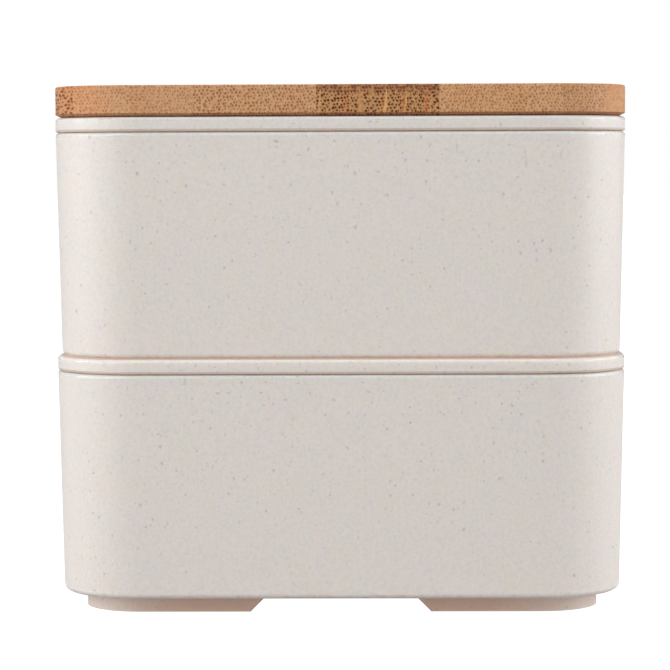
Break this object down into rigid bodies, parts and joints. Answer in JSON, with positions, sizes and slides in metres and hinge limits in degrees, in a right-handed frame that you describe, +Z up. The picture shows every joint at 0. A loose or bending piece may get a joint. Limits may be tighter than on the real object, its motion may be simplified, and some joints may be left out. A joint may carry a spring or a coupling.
{
  "type": "bento lunch box",
  "caption": "Stacked lunch box of speckled cream plastic trays with rounded corners, plug-in sealed lids and a bamboo board lid on top.",
  "frame": {"origin": "on the surface the box stands on, under the centre of the box", "axes": "+Z up; +Y along the long side; +X along the short side; the short side seen first faces -Y"},
  "size_m": [0.1078, 0.186, 0.0985],
  "materials": {
    "speckled_plastic": "satin, cream with fine grey and tan plant fibre specks",
    "silicone": "soft matte, off-white",
    "bamboo_tan": "sanded and lightly oiled, fine fibre dots on the end grain",
    "bamboo_pale": "sanded and lightly oiled, faint fibre dots on the end grain",
    "bamboo_dark": "sanded and lightly oiled, large dark fibre dots on the end grain"
  },
  "bodies": {
    "lower_tier": {"lower_container": "speckled_plastic"},
    "divider": {"divider": "speckled_plastic"},
    "lower_lid": {"lower_lid": "speckled_plastic", "lower_lid_seal": "silicone"},
    "lower_vent": {"lower_lid_vent_plug": "silicone"},
    "upper_tier": {"upper_container": "speckled_plastic"},
    "upper_lid": {"upper_lid": "speckled_plastic", "upper_lid_seal": "silicone"},
    "upper_vent": {"upper_lid_vent_plug": "silicone"},
    "bamboo_lid": {"lid_stave_1": "bamboo_tan", "lid_stave_2": "bamboo_tan", "lid_stave_3": "bamboo_tan", "lid_stave_4": "bamboo_dark", "lid_stave_5": "bamboo_pale", "lid_stave_6": "bamboo_pale", "bamboo_lid_grip_ring": "silicone"}
  },
  "joints": [
    {"name": "lower_lid_lift", "type": "slide", "parent": "lower_tier", "child": "lower_lid", "axis": [0, 0, 1], "range_m": [0, 0.06]},
    {"name": "upper_tier_lift", "type": "slide", "parent": "lower_lid", "child": "upper_tier", "axis": [0, 0, 1], "range_m": [0, 0.06]},
    {"name": "upper_lid_lift", "type": "slide", "parent": "upper_tier", "child": "upper_lid", "axis": [0, 0, 1], "range_m": [0, 0.06]},
    {"name": "bamboo_lid_lift", "type": "slide", "parent": "upper_lid", "child": "bamboo_lid", "axis": [0, 0, 1], "range_m": [0, 0.05]},
    {"name": "lower_vent_lift", "type": "slide", "parent": "lower_lid", "child": "lower_vent", "axis": [0, 0, 1], "range_m": [0, 0.0012]},
    {"name": "upper_vent_lift", "type": "slide", "parent": "upper_lid", "child": "upper_vent", "axis": [0, 0, 1], "range_m": [0, 0.0012]},
    {"name": "divider_slide", "type": "slide", "parent": "lower_tier", "child": "divider", "axis": [0, 1, 0], "range_m": [-0.04, 0.04]}
  ]
}
